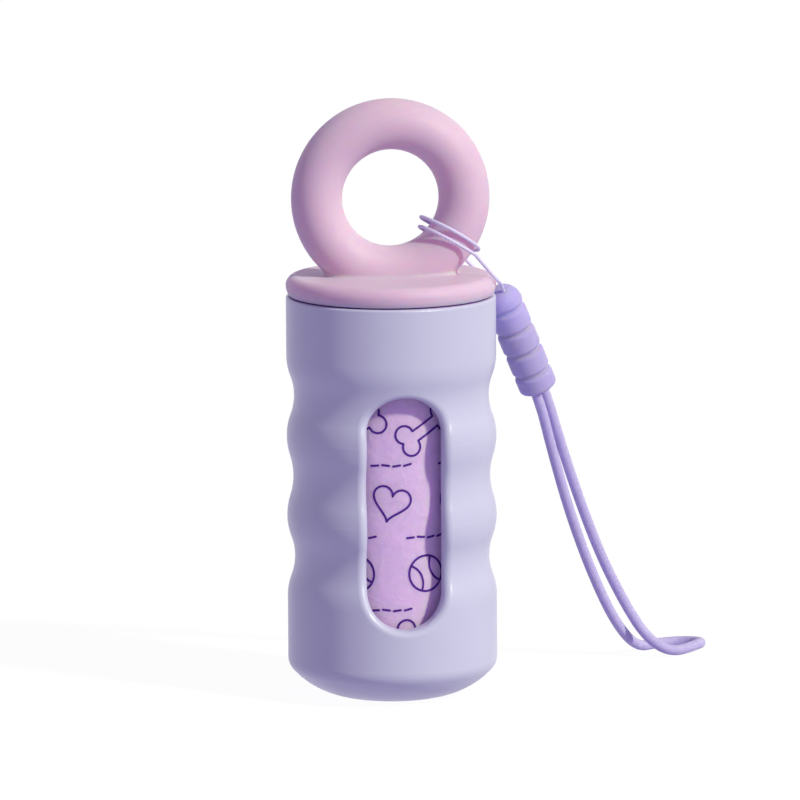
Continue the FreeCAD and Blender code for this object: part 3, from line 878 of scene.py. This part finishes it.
def rim_pass(angle, rise, clearance):
    """Point clear of the rounded edge of the lid."""
    slant = math.radians(rise)
    reach = FLANGE_TOP_ROUND + STRING_RADIUS + clearance
    radius = BODY_RADIUS - FLANGE_TOP_ROUND + reach * math.cos(slant)
    height = FLANGE_TOP - FLANGE_TOP_ROUND + reach * math.sin(slant)
    return polar(radius, math.radians(angle), height)


def swing_points():
    """Points where the two legs of the string swing on the ends of the turns."""
    first, first_heading = hitch_station(0)
    last, _ = hitch_station(HITCH_WRAP)
    front = first - first_heading * HITCH_LEAD
    heading = rim_pass(*REAR_LEG_PASSES[0]) - last
    rear = last + heading * ((front.z - last.z) / heading.z)
    return front, rear


def add_string_turns(material):
    front, rear = swing_points()
    turns = [hitch_station(HITCH_WRAP * step / HITCH_POINTS)[0] for step in range(HITCH_POINTS + 1)]
    points = [front] + turns + [rear]
    piece, route = string_piece("string_turns", points, TURNS_DETAIL, STRING_RADIUS, material)
    return finish_piece(piece, "lid", "string_fibre", "string_hitch"), route


# Sleeve, with the ends that it holds

def sleeve_point(depth, offset, twist_angle):
    """Point down the sleeve's axis, offset across it in a direction turned by the twist."""
    azimuth = math.radians(SLEEVE_AZIMUTH)
    lean = math.radians(SLEEVE_LEAN)
    heading = math.radians(SLEEVE_HEADING)
    twist = math.radians(twist_angle)
    outward = Vector((math.cos(heading), math.sin(heading), 0))
    axis = outward * math.sin(lean) - Z_AXIS * math.cos(lean)
    level = Z_AXIS.cross(outward)
    side = axis.cross(level) * math.cos(twist) - level * math.sin(twist)
    return polar(SLEEVE_REACH, azimuth, SLEEVE_TOP) + axis * depth + side * offset


def add_string_legs(material):
    pieces = []
    passes = (FRONT_LEG_PASSES, REAR_LEG_PASSES)
    for name, begin, places, offset in zip(("front", "rear"), swing_points(), passes, STRING_HOLE_OFFSETS):
        points = [begin] + [rim_pass(*place) for place in places]
        points += [sleeve_point(depth, offset, STRING_TWIST) for depth in (0, KNOT_TOP)]
        piece, _ = string_piece("string_leg_" + name, points, LEG_DETAIL, STRING_RADIUS, material)
        pieces.append(finish_piece(piece, "lanyard", "string_fibre", "string_legs"))
    return pieces


def add_string_knot(material):
    """Three-lobed knot of the string, squeezed into the sleeve."""
    top = sleeve_point(KNOT_TOP, 0, STRING_TWIST)
    axis = (sleeve_point(KNOT_TOP + KNOT_LENGTH, 0, STRING_TWIST) - top).normalized()
    side = (sleeve_point(KNOT_TOP, 1, STRING_TWIST) - top).normalized()
    beside = axis.cross(side)
    reach = (KNOT_RADIUS - KNOT_STRING_RADIUS) / 3
    depth = KNOT_LENGTH / 2 - KNOT_STRING_RADIUS
    middle = top + axis * KNOT_LENGTH / 2
    points = []
    for step in range(KNOT_POINTS + 1):
        turn = 2 * math.pi * step / KNOT_POINTS
        out = side * (math.sin(turn) + 2 * math.sin(2 * turn))
        over = beside * (math.cos(turn) - 2 * math.cos(2 * turn))
        points.append(middle + (out + over) * reach - axis * depth * math.sin(3 * turn))
    piece, _ = string_piece("string_knot_wound", points, KNOT_DETAIL, KNOT_STRING_RADIUS, material)
    return finish_piece(piece, "lanyard", "string_fibre", "string_knot")


def add_wrist_loop(material):
    """Loop from the crimp, out of the sleeve, down to the floor and back."""
    points = [sleeve_point(depth, -CORD_SPACING, CORD_TWIST) for depth in (CORD_END, CORD_MOUTH)]
    points[-1] += Vector(CORD_FIRST_SHIFT)
    points += [Vector(point) for point in CORD_ROUTE]
    points += [sleeve_point(depth, CORD_SPACING, CORD_TWIST) for depth in (CORD_MOUTH, CORD_END)]
    route = spline_points(points, CORD_DETAIL)
    piece = tube_piece("wrist_loop", route, CORD_RADIUS, CORD_SIDES, material)
    finish_piece(piece, "lanyard", "cord_fibre", "wrist_cord")
    return piece, route


# The whole scene

def dress_nodes():
    body = moulded_plastic(
        "canister_plastic", LAVENDER, roughness=0.36, gloss=0.5, depth=0.08, reach=(1.0, 0.8, 1.1)
    )
    lid = moulded_plastic(
        "lid_plastic", PINK, roughness=0.48, gloss=0.2, depth=0.7, reach=(6.0, 0.6, 2.0)
    )
    sleeve = moulded_plastic(
        "sleeve_plastic", SLEEVE_PURPLE, roughness=0.45, gloss=SOFT_GLOSS, depth=0.75, reach=(1.2, 0.6, 4.0)
    )
    dress("canister_shell", body)
    dress("lid_cap", lid)
    dress("lid_plug", lid)
    dress("lid_seal", seal_and_seam_shade_material())
    dress("roll_core", card_material())
    dress("cord_sleeve", sleeve)
    dress("cord_crimp", steel_material())
    add_threads(lid, body)


def add_threads(lid, body):
    plug = thread_piece("plug_thread", PLUG_RADIUS, PLUG_CREST, PLUG_THREAD_LOW, PLUG_THREAD_TURN, lid)
    finish_piece(plug, "lid", "lid_plastic")
    mouth = thread_piece(
        "mouth_thread", MOUTH_RADIUS, MOUTH_CREST, MOUTH_THREAD_LOW, MOUTH_THREAD_TURN, body
    )
    finish_piece(mouth, "canister", "canister_plastic")


def add_roll():
    noise.seed_set(FILM_SEED)
    finish_piece(film_piece(film_material()), "roll", "bag_film", "bag_roll")
    finish_piece(print_piece(print_material()), "roll", "bag_film")


def add_cords():
    fibre = string_material()
    turns, turns_route = add_string_turns(fibre)
    legs = add_string_legs(fibre)
    knot = add_string_knot(fibre)
    loop, loop_route = add_wrist_loop(cord_material())


scene.view_settings.view_transform = "Standard"
add_camera()
add_key_light()
add_world()
add_floor()
dress_nodes()
add_roll()
add_cords()
